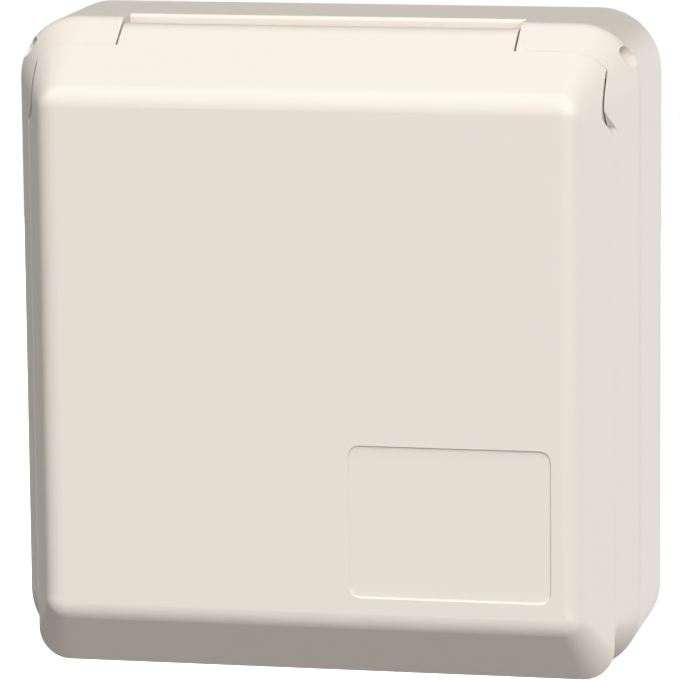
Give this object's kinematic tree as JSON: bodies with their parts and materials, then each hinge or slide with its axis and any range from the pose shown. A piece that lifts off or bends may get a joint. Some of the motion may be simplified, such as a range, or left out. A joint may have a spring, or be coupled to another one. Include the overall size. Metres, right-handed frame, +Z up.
{
  "type": "panel mount socket",
  "caption": "Rectangular panel mount industrial socket with a bevelled moulded housing and a self-closing hinged lid over a round pin and sleeve insert.",
  "frame": {"origin": "centre of the four fixing holes, in the plane of the panel's front face", "axes": "+Z up, the lid faces -Y, +Y goes into the panel, +X to the right seen from the front"},
  "size_m": [0.098, 0.072, 0.1014],
  "materials": {
    "housing_plastic": "satin moulded",
    "insert_plastic": "matte moulded",
    "contact_brass": "machined",
    "pin_steel": "drawn",
    "screw_steel": "zinc plated",
    "spring_steel": "drawn",
    "seal_rubber": "matte"
  },
  "bodies": {
    "housing": {"frame": "housing_plastic", "socket_collar": "housing_plastic", "contact_carrier": "insert_plastic", "terminal_base": "insert_plastic", "hinge_pin_left": "pin_steel", "hinge_pin_right": "pin_steel", "lid_spring": "spring_steel", "flange_gasket": "seal_rubber", "insert_seal": "seal_rubber", "collar_screws": "screw_steel", "carrier_screws": "screw_steel", "base_screw": "screw_steel", "terminal_screws": "screw_steel", "contact_l1": "contact_brass", "contact_l2": "contact_brass", "contact_l3": "contact_brass", "contact_n": "contact_brass", "contact_earth": "contact_brass", "line_contact_rings": "spring_steel", "earth_contact_ring": "spring_steel"},
    "lid": {"lid": "housing_plastic", "lid_gasket": "seal_rubber"}
  },
  "joints": [
    {"name": "lid_hinge", "type": "hinge", "parent": "housing", "child": "lid", "pos_m": [0, -0.0217, 0.0457], "axis": [-1, 0, 0], "range_deg": [0, 100], "stiffness_Nm_per_rad": 0.05, "springref_deg": -28.65, "deforming": ["lid_spring"]}
  ]
}
